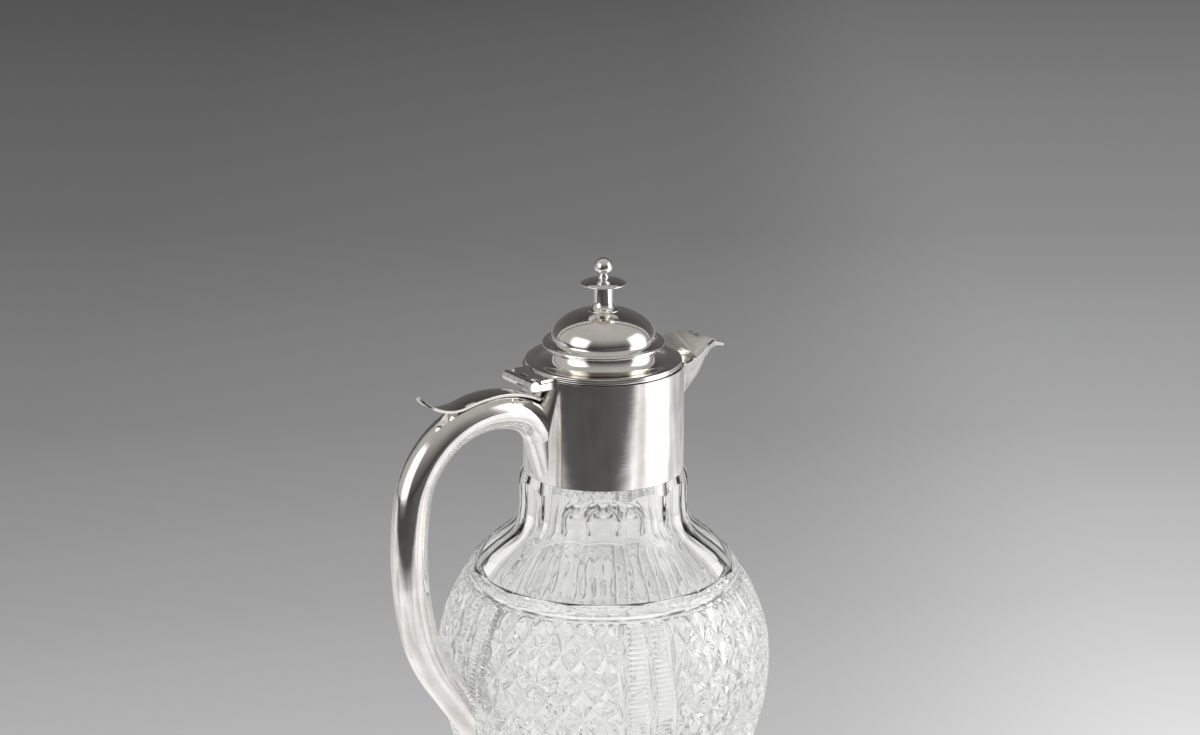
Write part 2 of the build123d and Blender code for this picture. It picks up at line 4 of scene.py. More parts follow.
import bmesh
import bpy
from mathutils import Matrix, Vector


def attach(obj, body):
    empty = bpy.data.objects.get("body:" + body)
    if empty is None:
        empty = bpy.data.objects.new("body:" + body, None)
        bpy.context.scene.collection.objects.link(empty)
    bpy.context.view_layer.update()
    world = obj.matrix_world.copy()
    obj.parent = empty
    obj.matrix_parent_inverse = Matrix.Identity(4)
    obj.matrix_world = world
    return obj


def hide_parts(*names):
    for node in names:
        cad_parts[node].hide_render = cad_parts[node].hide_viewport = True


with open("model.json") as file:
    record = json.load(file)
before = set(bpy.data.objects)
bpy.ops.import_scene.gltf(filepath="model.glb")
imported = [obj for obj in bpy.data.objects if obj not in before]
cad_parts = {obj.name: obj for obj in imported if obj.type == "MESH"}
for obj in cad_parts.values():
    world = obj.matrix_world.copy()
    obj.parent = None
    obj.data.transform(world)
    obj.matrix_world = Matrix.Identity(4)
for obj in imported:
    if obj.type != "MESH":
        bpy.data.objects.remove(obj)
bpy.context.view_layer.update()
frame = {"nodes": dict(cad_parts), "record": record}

scene = bpy.context.scene
MM = 0.001

# Sizes in mm. The jug stands at the origin and its spout points along x.
BODY_RADIUS = 63.1
WIDEST = 58.4  # height of the widest place
UPPER_BOW, LOWER_BOW = 57.8, 76.7  # how far the body's ellipse reaches above and below it
CAVITY_RADIUS, CAVITY_RISE, CAVITY_DROP = 56.3, 51.7, 48.4
NECK_RADIUS, NECK_BORE = 31.3, 24.0
COLLAR_RADIUS, COLLAR_FOOT, COLLAR_HEAD = 30.0, 133.0, 173.2
TUBE_RADIUS = 6.75  # the handle's
CROWN_RADIUS = 34.1
CROWN_MIDDLE = (-50.06, 129.2)

# How the glass is cut
PANELS = 5
DIAMONDS = 6  # across a panel
STEPS = 14  # columns to a diamond, and lines to a row
ROW = 12.2  # mm from row to row
TOP_ROW = 80.3  # height in mm of the top row
GROUP = 22.7  # degrees across a group of three mitre cuts
GROUP_COLUMNS = 24
SECTOR = GROUP_COLUMNS + DIAMONDS * STEPS
COLUMNS = PANELS * SECTOR
MITRE, TOOTH, CROSSED, ROW_LINE, BORDER = 1.8, 0.42, 1.2, 0.5, 0.7  # depths in mm
FLUTE = 360 / 12  # degrees
FLUTE_TURN = -4.5
STAR_RAY = 360 / 16  # degrees
STAR_IN, STAR_WIDE, STAR_OUT = 4, 28.4, 33  # mm from the axis: where a ray starts, is widest and ends
RAY_HALF, RAY_DEPTH = 2.3, 1.54  # mm
RING_ROW, CLEAR_ROW = -2, -9  # rows that the map gives to the ring, and to all that is not cut
CUT_LIMIT = -4.0  # rows beyond this one are clear


# ---------------------------------------------------------------- small helpers
def linear(colour):
    """Turn an sRGB hex colour into the linear colour that a shader socket takes."""
    channels = [int(colour[i : i + 2], 16) / 255 for i in (0, 2, 4)]
    return (*[c / 12.92 if c <= 0.04045 else ((c + 0.055) / 1.055) ** 2.4 for c in channels], 1)


def node(tree, kind, inputs=None, **settings):
    """Add a node with its settings, and set or link its inputs."""
    added = tree.nodes.new(kind)
    for name, value in settings.items():
        setattr(added, name, value)
    for name, value in (inputs or {}).items():
        if isinstance(value, bpy.types.NodeSocket):
            tree.links.new(value, added.inputs[name])
        else:
            added.inputs[name].default_value = value
    return added


def maths(tree, operation, *values):
    """Add a maths node and give its result."""
    return node(tree, "ShaderNodeMath", dict(enumerate(values)), operation=operation).outputs[0]


def ranged(tree, value, low, high, to_low, to_high, curve="LINEAR"):
    """Carry a value from one range over to another, and give the result."""
    inputs = {0: value, 1: low, 2: high, 3: to_low, 4: to_high}
    return node(tree, "ShaderNodeMapRange", inputs, interpolation_type=curve).outputs[0]


def mix(tree, share, colour, other):
    """Mix two colours; the share is that of the other one."""
    return node(tree, "ShaderNodeMix", {0: share, 6: colour, 7: other}, data_type="RGBA").outputs[2]


def scaled(tree, colour, factor):
    """Make a colour brighter or darker by a factor."""
    added = node(tree, "ShaderNodeVectorMath", {0: colour, "Scale": factor}, operation="SCALE")
    return added.outputs[0]


def amount_along(tree, place, way):
    """How far a place lies along a direction."""
    added = node(tree, "ShaderNodeVectorMath", {0: place, 1: tuple(way)}, operation="DOT_PRODUCT")
    return added.outputs["Value"]


def ramp(tree, value, stops, curve="LINEAR"):
    """Add a colour ramp through (place, linear colour) stops, and give its colour."""
    added = node(tree, "ShaderNodeValToRGB", {"Fac": value})
    added.color_ramp.interpolation = curve
    for place, _ in stops[1:-1]:
        added.color_ramp.elements.new(place)
    for stop, (place, colour) in zip(added.color_ramp.elements, stops):
        stop.position, stop.color = place, colour
    return added.outputs["Color"]


def noise(tree, place, scale, detail, roughness=0.5):
    """Add a noise texture and give its value; the scale counts lumps to the metre."""
    inputs = {"Vector": place, "Scale": scale, "Detail": detail, "Roughness": roughness}
    return node(tree, "ShaderNodeTexNoise", inputs).outputs["Fac"]


def bumped(tree, height, distance, before=None):
    """Add a bump of a distance in metres, on top of an earlier one, and give its normal."""
    inputs = {"Height": height, "Strength": 1.0, "Distance": distance}
    if before is not None:
        inputs["Normal"] = before
    return node(tree, "ShaderNodeBump", inputs).outputs[0]


def arc(middle, radius, first, last, count, squash=1.0):
    """Points of a side view along an arc, or an ellipse if squashed, with angles in degrees."""
    angles = [radians(first + (last - first) * i / count) for i in range(count + 1)]
    return [(middle[0] + radius * cos(a), middle[1] + radius * squash * sin(a)) for a in angles]


def bezier(a, b, c, d, count):
    """Points of a side view along a Bezier curve."""
    points = []
    for i in range(count + 1):
        t = i / count
        w = ((1 - t) ** 3, 3 * t * (1 - t) ** 2, 3 * t * t * (1 - t), t**3)
        points.append(tuple(sum(w[k] * p[j] for k, p in enumerate((a, b, c, d))) for j in (0, 1)))
    return points


def through(points, share):
    """A place on the smooth line through points, at a share of the way along it."""
    place = min(max(share, 0), 1) * (len(points) - 1)
    i = min(int(place), len(points) - 2)
    t = place - i
    a, b = points[max(i - 1, 0)], points[i]
    c, d = points[i + 1], points[min(i + 2, len(points) - 1)]
    found = []
    for k in range(len(b)):
        slope = c[k] - a[k]
        bend = 2 * a[k] - 5 * b[k] + 4 * c[k] - d[k]
        twist = 3 * (b[k] - c[k]) + d[k] - a[k]
        found.append(b[k] + 0.5 * t * (slope + t * (bend + t * twist)))
    return tuple(found)


def made(name, bm, material, body, replaced, crease=32):
    """Turn a bmesh into a piece that rides on a body, with soft shading broken at its creases."""
    bmesh.ops.remove_doubles(bm, verts=bm.verts, dist=1e-7)
    bmesh.ops.recalc_face_normals(bm, faces=bm.faces)
    for face in bm.faces:
        face.smooth = True
    for edge in bm.edges:
        edge.smooth = len(edge.link_faces) == 2 and edge.calc_face_angle(0) < radians(crease)
    mesh = bpy.data.meshes.new(name)
    bm.to_mesh(mesh)
    bm.free()
    piece = bpy.data.objects.new(name, mesh)
    scene.collection.objects.link(piece)
    mesh.materials.append(material)
    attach(piece, body)
    if replaced:
        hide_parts(*replaced)
    return piece


def turned(side, steps=192, closed=True):
    """Spin a side view of (radius, height) points in millimetres about the jug's axis."""
    bm = bmesh.new()
    line = [bm.verts.new((r * MM, 0, z * MM)) for r, z in side]
    pairs = list(zip(line, line[1:])) + ([(line[-1], line[0])] if closed else [])
    edges = [bm.edges.new(pair) for pair in pairs]
    bmesh.ops.spin(
        bm, geom=line + edges, cent=(0, 0, 0), axis=(0, 0, 1), angle=2 * pi, steps=steps, use_merge=True
    )
    return bm


def rounded(corners, radius, steps=3):
    """Round the corners of a closed side view."""
    points = []
    for i, corner in enumerate(corners):
        here = Vector(corner)
        back = Vector(corners[i - 1]) - here
        on = Vector(corners[(i + 1) % len(corners)]) - here
        cut = min(radius, back.length * 0.45, on.length * 0.45)
        first, last = here + back.normalized() * cut, here + on.normalized() * cut
        for k in range(steps + 1):
            t = k / steps
            points.append(tuple(first * (1 - t) ** 2 + here * 2 * t * (1 - t) + last * t * t))
    return points


# ---------------------------------------------------------------- finishes
HAIRLINE = 0.000006  # depth of the silver's polishing marks, in metres
FAN_CUT = 0.0012  # depth of the fine cuts in the diamonds, in metres
SOFT_SHARE = 0.25  # how much of a cut face scatters light
CRYSTAL_IOR = 1.545


def polished_silver():
    """Sterling silver, hand polished: warm white, mirror bright, with hairline polishing marks,
    slow ripples from the hammer and a breath of tarnish in soft patches."""
    made_of = bpy.data.materials.new("polished_silver")
    made_of.use_nodes = True
    tree = made_of.node_tree
    shader = tree.nodes["Principled BSDF"]
    place = node(tree, "ShaderNodeTexCoord").outputs["Object"]
    # Tarnish in soft patches about 12 mm across
    patches = noise(tree, place, 85.0, 3.0, roughness=0.6)
    tone = ramp(tree, patches, [(0.3, linear("E4E1DC")), (0.62, linear("F6F4F1"))])
    gloss = ranged(tree, patches, 0.35, 0.75, 0.105, 0.075)
    # Slow ripples from the hammer, then hairlines that run in two directions across each other
    normal = bumped(tree, noise(tree, place, 110.0, 1.0), 0.00006)
    for turn, stretch, scale in (
        ((0.7, 0.4, 0.3), (1, 14, 1), 300.0),
        ((0.2, 1.1, 0.9), (1, 1, 12), 260.0),
    ):
        drawn = node(tree, "ShaderNodeMapping", {"Vector": place, "Rotation": turn, "Scale": stretch})
        normal = bumped(tree, noise(tree, drawn.outputs[0], scale, 2.0), HAIRLINE, normal)
    tree.links.new(tone, shader.inputs["Base Color"])
    tree.links.new(gloss, shader.inputs["Roughness"])
    tree.links.new(normal, shader.inputs["Normal"])
    shader.inputs["Metallic"].default_value = 1.0
    return made_of


def cut_crystal():
    """Lead crystal, cut on a wheel and polished: clear and bright, with fans of fine cuts drawn in
    the diamonds that lie on the rows. The map counts diamonds across and rows down a panel."""
    made_of = bpy.data.materials.new("cut_crystal")
    made_of.use_nodes = True
    tree = made_of.node_tree
    shader = tree.nodes["Principled BSDF"]
    shader.inputs["Base Color"].default_value = linear("FEFEFD")
    shader.inputs["Roughness"].default_value = 0.0
    shader.inputs["IOR"].default_value = CRYSTAL_IOR
    panels = node(tree, "ShaderNodeUVMap", uv_map="panels").outputs[0]
    across, down, _ = node(tree, "ShaderNodeSeparateXYZ", {0: panels}).outputs

    def from_nearest_half(value):
        """How far a value lies from the nearest half, between 0 and 0.5."""
        part = maths(tree, "FRACT", maths(tree, "ADD", value, 99.5))
        return maths(tree, "ABSOLUTE", maths(tree, "SUBTRACT", part, 0.5))

    # e is the way from the nearest star along its row, h the way up or down from the row
    e = maths(tree, "SUBTRACT", 0.5, from_nearest_half(across))
    h = from_nearest_half(down)
    turn = maths(tree, "DIVIDE", h, maths(tree, "MAXIMUM", e, 0.01))
    ray_part = maths(tree, "FRACT", maths(tree, "MULTIPLY", turn, 3.0))
    ray = maths(tree, "ABSOLUTE", maths(tree, "SUBTRACT", ray_part, 0.5))
    inside = maths(tree, "LESS_THAN", turn, 1.0)
    past_left = maths(tree, "GREATER_THAN", across, 0.05)
    before_right = maths(tree, "LESS_THAN", across, DIAMONDS - 0.05)
    below_top = maths(tree, "GREATER_THAN", down, -0.8)
    on_panel = maths(tree, "MULTIPLY", maths(tree, "MULTIPLY", past_left, before_right), below_top)
    shown = maths(tree, "MULTIPLY", inside, on_panel)
    height = maths(tree, "MULTIPLY", maths(tree, "MULTIPLY", ray, e), shown)
    tree.links.new(bumped(tree, height, FAN_CUT), shader.inputs["Normal"])
    # The wheel leaves the cut faces a little soft, where the neck and the inside are fully clear
    is_cut = maths(tree, "GREATER_THAN", down, CUT_LIMIT)
    clear_share = maths(tree, "SUBTRACT", 1.0, maths(tree, "MULTIPLY", is_cut, SOFT_SHARE))
    tree.links.new(clear_share, shader.inputs["Transmission Weight"])
    # Light reaches the surface under the jug as if the crystal were thin
    clear = node(tree, "ShaderNodeBsdfTransparent", {"Color": linear("E4E6E6")})
    rays = node(tree, "ShaderNodeLightPath")
    soft = maths(tree, "MAXIMUM", rays.outputs["Is Shadow Ray"], rays.outputs["Is Diffuse Ray"])
    mixed = node(tree, "ShaderNodeMixShader", {0: soft, 1: shader.outputs[0], 2: clear.outputs[0]})
    tree.links.new(mixed.outputs[0], tree.nodes["Material Output"].inputs["Surface"])
    return made_of


def plain_finish(name, colour, metallic, roughness, grain, depth):
    """A finish for the pieces that hardly show: an even colour with a fine grain, in millimetres."""
    made_of = bpy.data.materials.new(name)
    made_of.use_nodes = True
    tree = made_of.node_tree
    shader = tree.nodes["Principled BSDF"]
    place = node(tree, "ShaderNodeTexCoord").outputs["Object"]
    grains = noise(tree, place, 1000 / grain, 4.0)
    darker = [c * 0.75 for c in linear(colour)[:3]] + [1]
    tone = ramp(tree, grains, [(0.25, darker), (0.7, linear(colour))])
    bump = node(tree, "ShaderNodeBump", {"Height": grains, "Distance": depth * MM})
    tree.links.new(tone, shader.inputs["Base Color"])
    tree.links.new(bump.outputs[0], shader.inputs["Normal"])
    shader.inputs["Metallic"].default_value = metallic
    shader.inputs["Roughness"].default_value = roughness
    return made_of


silver = polished_silver()
crystal = cut_crystal()
# Plaster of Paris that beds the mounts on the glass: chalky, off white
plaster = plain_finish("plaster", "DDD6C8", 0.0, 0.85, 0.8, 0.15)
# Turned brass of the stud, its nut and washer under the dome: dull gold
brass = plain_finish("turned_brass", "C9A86A", 1.0, 0.35, 0.5, 0.02)

finishes = {"silver": silver, "cut_glass": crystal, "plaster": plaster, "brass": brass}
for entry in frame["record"]["subparts"]:
    mesh = frame["nodes"][entry["node"]].data
    mesh.materials.clear()
    mesh.materials.append(finishes[entry["material_slot"]])


# ---------------------------------------------------------------- cut-glass body
def skin(z):
    """Radius of the uncut body at a height, and the slope of its outward direction there."""
    bow = UPPER_BOW if z > WIDEST else LOWER_BOW
    share = (z - WIDEST) / bow
    r = BODY_RADIUS * sqrt(max(1 - share * share, 0.01))
    out = Vector((r / BODY_RADIUS**2, share / bow)).normalized()
    return r, out


def pattern_angle(column):
    """Angle of a column in the cut body, where the columns follow the cuts."""
    sector, c = divmod(column, SECTOR)
    marks = [0, 4, 10, 14, 20, 24, SECTOR]
    turns = [0, 4.1, 9.3, 13.4, 18.6, GROUP, 360 / PANELS]
    k = max(i for i in range(len(marks) - 1) if marks[i] <= c)
    part = (c - marks[k]) / (marks[k + 1] - marks[k])
    return 180 - GROUP / 2 + 360 / PANELS * sector + turns[k] + part * (turns[k + 1] - turns[k])


def cut_depth(column, line):
    """Depth in mm of the cuts at a column, on a line counted in fourteenths of a row from the top row."""
    c = column % SECTOR
    if c <= GROUP_COLUMNS:
        # Each mitre cut is five columns wide and deepest in the third; teeth fill the ridges
        for start in (0, 10, 20):
            if 0 < c - start < 4:
                return MITRE * (1 - abs(c - start - 2) / 2)
        if c in (0, GROUP_COLUMNS):
            return 0.0
        return TOOTH if line % 2 else 0.0
    u = (c - GROUP_COLUMNS) / STEPS - 0.5
    v = line / STEPS
    reach = 4 / STEPS
    depth = 0.0
    for lean in (u + v, u - v):
        away = abs(lean - round(lean))
        depth = max(depth, CROSSED * (1 - away / reach))
    away = abs(v - round(v))
    depth = max(depth, ROW_LINE * (1 - away * STEPS))
    border = min(c - GROUP_COLUMNS, SECTOR - c)
    return max(depth, BORDER * (1 - border / 1.01))


def cut_glass():
    """The glass body: the uncut shape is spun, and then each vertex moves to its place in the cuts."""
    first_line, last_line = -11, 6 * STEPS
    run_out = 3  # lines over which the cuts end at the bottom
    heights = [TOP_ROW - ROW * line / STEPS for line in range(last_line, first_line - 1, -1)]
    side = [(0, 0, "base")]
    side += [(r, 0, "base") for r in (4, 6.5, 9, 12, 15, 18.5, 22, 25.5, 28.4, 31, 33, 36)]
    side += [(x, z, "plain") for x, z in arc((38.2, 2.5), 2.5, -90, -22, 4)]
    side += [(0, z, "skin") for z in (4.2, 5.6)]
    side += [(0, z, "cut") for z in heights]
    side += [(52.7, 90.0, "ring"), (51.3, 90.15, "ring"), (50.5, 90.15, "ring")]
    side += [(x, z, "ring") for x, z in bezier((50.6, 90.3), (51.6, 91.2), (51.6, 93.0), (50.5, 94.0), 6)]
    side += [(49.7, 94.3, "ring"), (48.6, 94.4, "ring"), (47.9, 94.9, "ring"), (47.8, 95.5, "ring")]
    shoulder = bezier((48.3, 95.6), (38.2, 108.0), (NECK_RADIUS, 108.65), (NECK_RADIUS, 116.5), 17)
    side += [(r, z, "flute") for r, z in shoulder]
    side += [(NECK_RADIUS, z, "flute") for z in (121.5, 126.5)]
    side += [(NECK_RADIUS, 130.6, "scallop")]
    side += [(30.65, 131.8, "plain"), (30.05, 132.95, "plain"), (28.2, 133.0, "plain")]
    side += [(28.2, 155.6, "plain"), (27.6, 156.0, "plain"), (24.5, 156.0, "plain"), (24.0, 155.5, "plain")]
    inside = bezier((NECK_BORE, 119.5), (NECK_BORE, 110.5), (30.5, 103.2), (39.0, 95.7), 12)
    inside += arc((0, WIDEST), CAVITY_RADIUS, 46.2, 0, 10, CAVITY_RISE / CAVITY_RADIUS)[1:]
    inside += arc((0, WIDEST), CAVITY_RADIUS, -8, -82, 9, CAVITY_DROP / CAVITY_RADIUS)
    side += [(r, z, "plain") for r, z in inside]
    side += [(0, 10.0, "plain")]

    bm = bmesh.new()
    row_layer = bm.verts.layers.int.new("row")
    line = []
    for i, (r, z, _) in enumerate(side):
        if side[i][2] in ("cut", "skin"):
            r = skin(z)[0]
        vertex = bm.verts.new((r * MM, 0, z * MM))
        vertex[row_layer] = i
        line.append(vertex)
    edges = [bm.edges.new(pair) for pair in zip(line, line[1:])]
    bmesh.ops.spin(
        bm, geom=line + edges, cent=(0, 0, 0), axis=(0, 0, 1), angle=2 * pi, steps=COLUMNS, use_merge=True
    )
    bmesh.ops.remove_doubles(bm, verts=bm.verts, dist=1e-7)
    column_layer = bm.verts.layers.int.new("column")
    first_cut = next(i for i, s in enumerate(side) if s[2] == "cut")
    last_cut = max(i for i, s in enumerate(side) if s[2] == "cut")
    first_flute = next(i for i, s in enumerate(side) if s[2] == "flute")
    even_start = 180 - GROUP / 2 + 1 / 60
    for vertex in bm.verts:
        x, y = vertex.co.x, vertex.co.y
        row = vertex[row_layer]
        r, z, kind = side[row]
        column = round(degrees(atan2(y, x)) * COLUMNS / 360) % COLUMNS
        vertex[column_layer] = column
        if hypot(x, y) < 1e-6:
            continue
        even = even_start + column * 360 / COLUMNS
        share = min(max((row - last_cut) / (first_flute - last_cut), 0), 1)
        angle = pattern_angle(column) * (1 - share) + even * share
        if kind in ("skin", "cut"):
            r, out = skin(z)
        if kind == "cut":
            count = last_line - (row - first_cut)
            depth = cut_depth(column, count)
            if count > last_line - run_out:
                depth *= (last_line - count) / run_out
            r, z = r - depth * out.x, z - depth * out.y
        elif kind == "base" and STAR_IN < r < STAR_OUT:
            off = abs((angle + STAR_RAY / 2) % STAR_RAY - STAR_RAY / 2)
            if r < STAR_WIDE:
                half = RAY_HALF * (r - STAR_IN) / (STAR_WIDE - STAR_IN)
            else:
                half = RAY_HALF * (STAR_OUT - r) / (STAR_OUT - STAR_WIDE)
            z = RAY_DEPTH * max(0, half - radians(off) * r) / RAY_HALF
        elif kind in ("flute", "scallop"):
            off = radians((angle - FLUTE_TURN + FLUTE / 2) % FLUTE - FLUTE / 2)
            r = r / cos(off)
            # The edges between the flutes reach less high, so each flute ends in a scallop at the collar
            if kind == "scallop":
                z = COLLAR_FOOT - (r - COLLAR_RADIUS) * 2.4 / 1.3
            elif z > 120:
                z = z - (r - NECK_RADIUS) * 1.6
        vertex.co = (r * MM * cos(radians(angle)), r * MM * sin(radians(angle)), z * MM)

    # The map counts diamonds across and rows down; it also keeps the two ends of a panel apart
    panels = bm.loops.layers.uv.new("panels")
    for face in bm.faces:
        columns = [v[column_layer] for v in face.verts]
        if max(columns) - min(columns) > COLUMNS / 2:
            columns = [c if c > COLUMNS / 2 else c + COLUMNS for c in columns]
        start = (min(columns) // SECTOR) * SECTOR + GROUP_COLUMNS
        for loop, column in zip(face.loops, columns):
            row = loop.vert[row_layer]
            kind = side[row][2]
            down = RING_ROW if kind == "ring" else CLEAR_ROW
            if kind == "cut":
                down = (last_line - (row - first_cut)) / STEPS
            loop[panels].uv = ((column - start) / STEPS, down)
    # Each square is split along its deeper diagonal, so that the cuts run straight
    for face in bm.faces[:]:
        if len(face.verts) == 4 and all(first_cut <= v[row_layer] <= last_cut for v in face.verts):
            a, b, c, d = face.verts
            if (a.co.xy.length + c.co.xy.length) < (b.co.xy.length + d.co.xy.length):
                bmesh.utils.face_split(face, a, c)
            else:
                bmesh.utils.face_split(face, b, d)
    return bm


made("glass_body_cut", cut_glass(), crystal, "jug", ["glass_body"], crease=9)

# ---------------------------------------------------------------- lid
made(
    "lid_rim_wire_turned",
    turned(rounded([(28.7, 173.4), (29.3, 173.4), (29.3, 174.5), (28.7, 174.5)], 0.28)),
    silver, "lid", ["lid_rim_wire"],
)
made(
    "lid_bezel_turned",
    turned(rounded([(27.9, 170.9), (28.7, 170.9), (28.7, 174.5), (27.9, 174.5)], 0.15)),
    silver, "lid", ["lid_bezel"],
)
cove_out = arc((25.5, 180.3), 5.0, 180, 270, 24)
cove_in = arc((25.5, 180.3), 5.8, 270, 180, 24)
made(
    "lid_flange_spun",
    turned(cove_out + [(28.8, 175.32), (29.05, 175.15), (29.1, 174.9), (29.1, 174.5)] + cove_in, 256),
    silver, "lid", ["lid_flange"], crease=40,
)
bead_round = arc((21.92, 181.15), 0.82, -90, 90, 12)
made(
    "lid_bead_turned",
    turned([(19.7, 182.0), (19.7, 180.3), (21.9, 180.3)] + bead_round + [(20.95, 182.0)], 256),
    silver, "lid", ["lid_bead"],
)
dome_out = arc((0, 183.7), 19.3, 90, 0, 40, 10.8 / 19.3)[:-1]
dome_flare = bezier((19.3, 183.7), (19.3, 183.0), (19.6, 182.6), (20.85, 182.0), 8)
dome_in = arc((0, 183.7), 18.4, 0, 85.2, 30, 9.9 / 18.4)
dome_out[0] = (1.55, 194.46)
made(
    "lid_dome_raised",
    turned(dome_out + dome_flare + [(18.4, 182.0)] + dome_in, 256),
    silver, "lid", ["lid_dome"], crease=50,
)

# ---------------------------------------------------------------- finial
made(
    "finial_stem_turned",
    turned(
        [(1.55, 194.35), (6.0, 193.55), (6.2, 193.75), (6.15, 194.1)]
        + bezier((5.8, 194.2), (4.6, 194.45), (3.65, 195.4), (3.6, 197.2), 8)
        + [(3.6, 202.0), (3.6, 202.5), (1.55, 202.5)],
        96,
    ),
    silver, "lid", ["finial_stem"], crease=50,
)
made(
    "finial_saucer_turned",
    turned(
        [(1.55, 202.5), (3.6, 202.5)]
        + bezier((3.65, 202.5), (5.0, 202.9), (7.2, 203.4), (8.2, 203.62), 6)
        + arc((8.22, 203.87), 0.25, -80, 70, 6)
        + bezier((8.22, 204.15), (6.9, 205.05), (4.9, 205.5), (3.1, 205.6), 10)
        + bezier((2.75, 205.65), (2.3, 205.75), (1.95, 206.0), (1.9, 206.6), 5)
        + [(1.55, 206.6)],
        96,
    ),
    silver, "lid", ["finial_saucer"], crease=50,
)
ball_round = arc((0, 210.23), 3.4, -58, 90, 26)[:-1]
ball_side = [(0, 206.62), (1.85, 206.62), (1.75, 206.95)] + ball_round + [(0, 213.63)]
made(
    "finial_ball_turned",
    turned(ball_side, 96, closed=False),
    silver, "lid", ["finial_ball"], crease=50,
)


# ---------------------------------------------------------------- collar and spout
def spout_place(out, across):
    """A point of the spout's outside: out runs from collar to tip, across from lip to lip."""
    lips = [
        (24.3, 17.6, 173.1), (28.6, 15.2, 172.6), (32.8, 13.6, 173.2), (35.6, 12.6, 174.4),
        (38.7, 11.4, 176.0), (41.5, 9.9, 176.5), (44.4, 7.9, 176.5), (46.9, 5.1, 175.2),
        (51.3, 2.4, 173.7), (54.6, 0.5, 172.0),
    ]
    keels = [
        (30.0, 147.0), (35.6, 153.1), (39.4, 158.9), (41.6, 163.6), (43.2, 167.2),
        (44.7, 169.5), (47.0, 171.0), (49.6, 171.8), (52.4, 172.0), (54.7, 171.4),
    ]
    lip, keel = through(lips, out), through(keels, out)
    side = abs(across)
    spread = side**0.86
    rise = side**1.32 if out < 0.5 else side**1.5
    y = lip[1] * spread
    z = keel[1] + (lip[2] - keel[1]) * rise
    x = keel[0] + (lip[0] - keel[0]) * rise
    near = max(0, 1 - out * 3.2) ** 1.5
    x = x * (1 - near) + sqrt(COLLAR_RADIUS**2 - y * y) * near
    return x, y if across > 0 else -y, z


def pouring_lip():
    """The spout: one sheet between the collar and the tip."""
    bm = bmesh.new()
    bmesh.ops.create_grid(bm, x_segments=56, y_segments=40, size=1)
    for vertex in bm.verts:
        x, y, z = spout_place((vertex.co.x + 1) / 2, vertex.co.y)
        vertex.co = (x * MM, y * MM, z * MM)
    return bm


def thicken(piece, wall, outwards=0.0, edge=0.12):
    """Give a sheet its wall, with a softened edge."""
    wall_up = piece.modifiers.new("wall", "SOLIDIFY")
    wall_up.thickness = wall * MM
    wall_up.offset = outwards
    wall_up.use_even_offset = True
    ease = piece.modifiers.new("edge", "BEVEL")
    ease.width = edge * MM
    ease.segments = 2
    ease.limit_method = "ANGLE"
    ease.angle_limit = radians(55)


def collar_tube():
    """The collar: a tube with the window into the spout cut out along the spout's sides."""
    bm = bmesh.new()
    rows = 24
    heights = [COLLAR_FOOT + (COLLAR_HEAD - COLLAR_FOOT) * i / rows for i in range(rows + 1)]
    line = [bm.verts.new((COLLAR_RADIUS * MM, 0, z * MM)) for z in heights]
    edges = [bm.edges.new(pair) for pair in zip(line, line[1:])]
    bmesh.ops.spin(
        bm, geom=line + edges, cent=(0, 0, 0), axis=(0, 0, 1), angle=2 * pi, steps=288, use_merge=True
    )
    window_foot, window_head, window_half = 149.0, 173.4, 16.7  # heights, and half the width at the rim
    for side in (-1, 1):
        # A slanting cut from the foot of the spout to where its side meets the rim
        low, high = Vector((COLLAR_RADIUS, 0, window_foot)), Vector((24.9, side * window_half, window_head))
        cut = (high - low).cross(Vector((1, 0, 0)))
        front = [f for f in bm.faces if f.calc_center_median().x > 0]
        geometry = list({v for f in front for v in f.verts} | {e for f in front for e in f.edges}) + front
        bmesh.ops.bisect_plane(bm, geom=geometry, dist=1e-7, plane_co=low * MM, plane_no=cut)
    gone = []
    for face in bm.faces:
        c = face.calc_center_median() / MM
        half = window_half * (c.z - window_foot) / (window_head - window_foot)
        if c.x > 20 and c.z > window_foot and abs(c.y) < half:
            gone.append(face)
    bmesh.ops.delete(bm, geom=gone, context="FACES")
    return bm


collar = made("collar_tube", collar_tube(), silver, "jug", ["collar"], crease=60)
thicken(collar, 0.8, -1.0, 0.15)
spout = made("spout_raised", pouring_lip(), silver, "jug", ["spout"], crease=60)
thicken(spout, 0.9, -1.0, 0.2)


# ---------------------------------------------------------------- handle
def handle_line():
    """The handle's centre line in mm: place and heading, from inside the collar to inside the glass."""
    x, z, heading = -27.95, 150.24, 107.0
    lead = 15.5
    places = [(x - lead * cos(radians(heading)), z - lead * sin(radians(heading)), heading)]
    # Radius and degrees of the start, the root, the crown, the back and the heel
    runs = [(0, 0), (17.0, 53.0), (CROWN_RADIUS, 101.0), (131.0, 22.0), (60.0, 22.0)]
    for radius, sweep in runs:
        count = max(1, ceil(sweep / 2))
        for _ in range(count):
            step = sweep / count
            chord = 2 * radius * sin(radians(step / 2))
            x += chord * cos(radians(heading + step / 2))
            z += chord * sin(radians(heading + step / 2))
            heading += step
            places.append((x, z, heading))
    tail_steps, tail_step = 8, 3.4
    for _ in range(tail_steps):
        x += tail_step * cos(radians(heading))
        z += tail_step * sin(radians(heading))
        places.append((x, z, heading))
    return places


